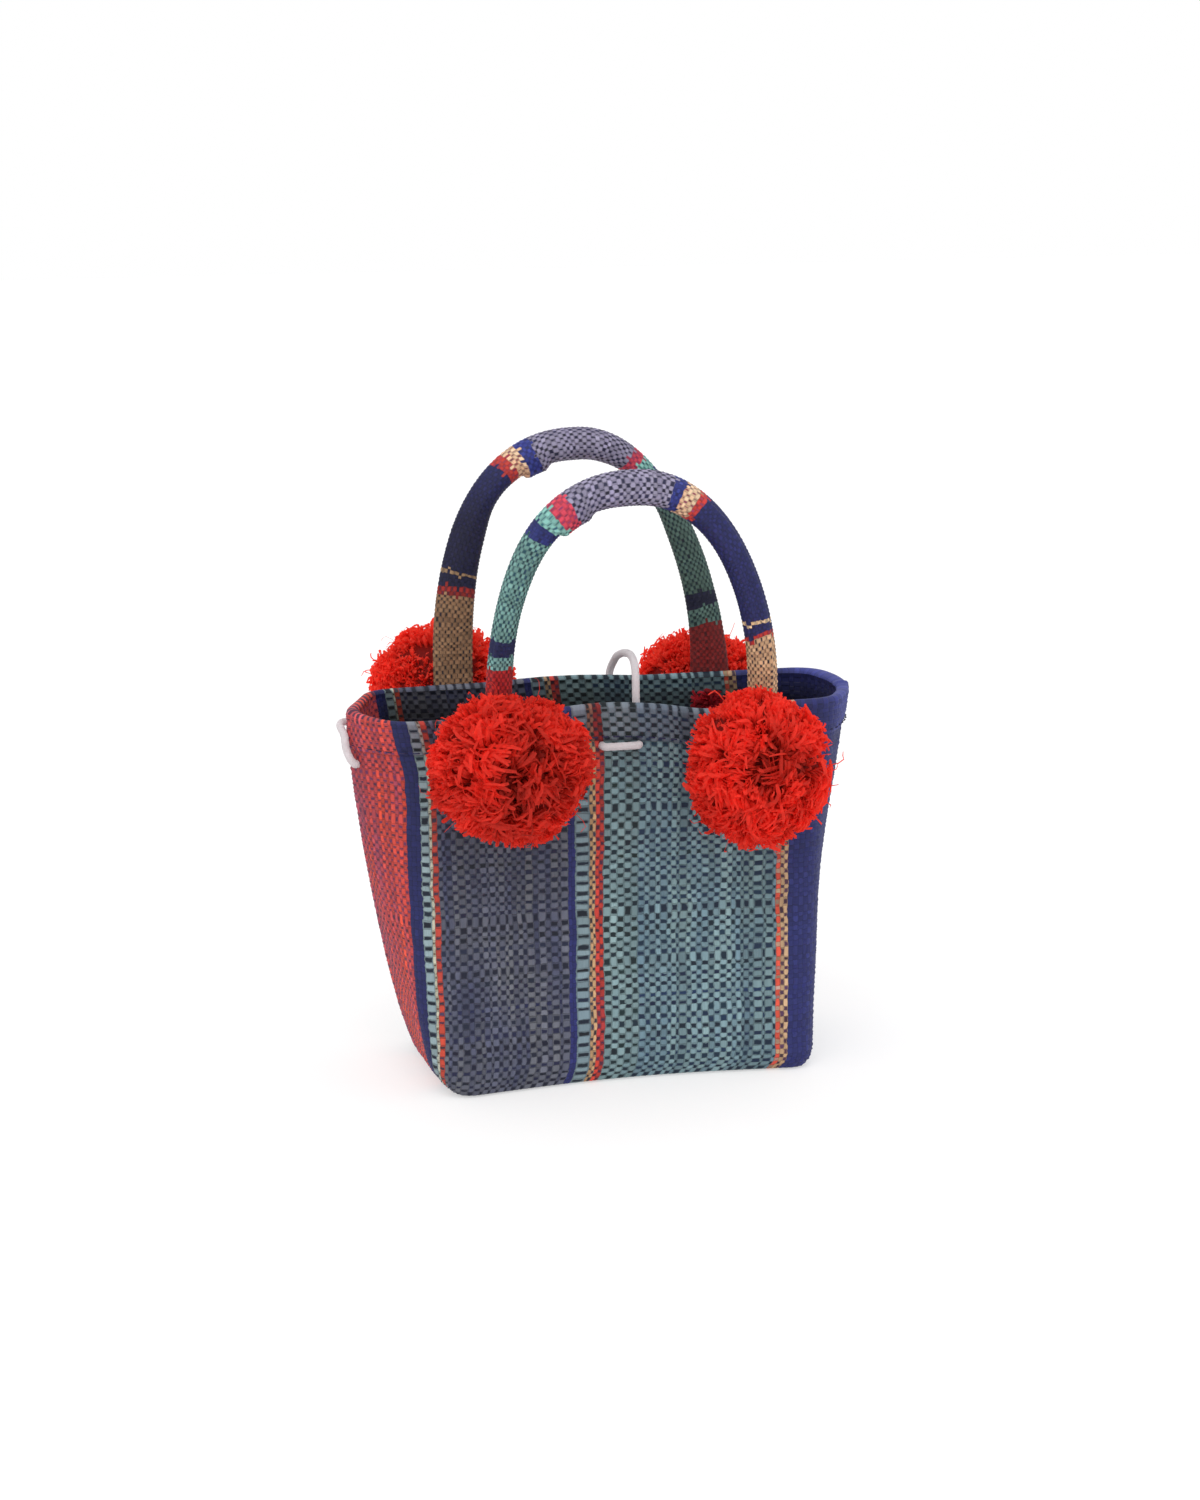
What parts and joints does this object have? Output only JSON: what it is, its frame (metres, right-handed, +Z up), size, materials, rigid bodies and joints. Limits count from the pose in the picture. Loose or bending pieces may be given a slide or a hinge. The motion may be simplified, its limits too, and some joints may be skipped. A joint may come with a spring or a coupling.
{
  "type": "raffia bag",
  "caption": "Small open-top tote bag of striped woven raffia with a boxed base, two rolled arched handles, raffia pompoms over the handle feet and a white closure cord.",
  "frame": {"origin": "middle of the flat underside of the base, where the bag stands", "axes": "+X to the right of the front wall, +Y from the front wall to the back wall, +Z up to the handles"},
  "size_m": [0.2411, 0.2016, 0.2875],
  "materials": {
    "woven_raffia": "matte plain-woven raffia strips in navy, grey, teal, cream and red stripes",
    "handle_raffia": "matte woven raffia rolled round padding, striped across",
    "pompom_raffia": "dyed bright red raffia strips, slightly glossy",
    "white_cord": "smooth soft white cord"
  },
  "bodies": {
    "root": {"bag_body": "woven_raffia", "handle_front": "handle_raffia", "handle_back": "handle_raffia", "pompom_front_left": "pompom_raffia", "pompom_front_right": "pompom_raffia", "pompom_back_left": "pompom_raffia", "pompom_back_right": "pompom_raffia", "closure_cord": "white_cord", "side_cord": "white_cord"}
  },
  "joints": []
}
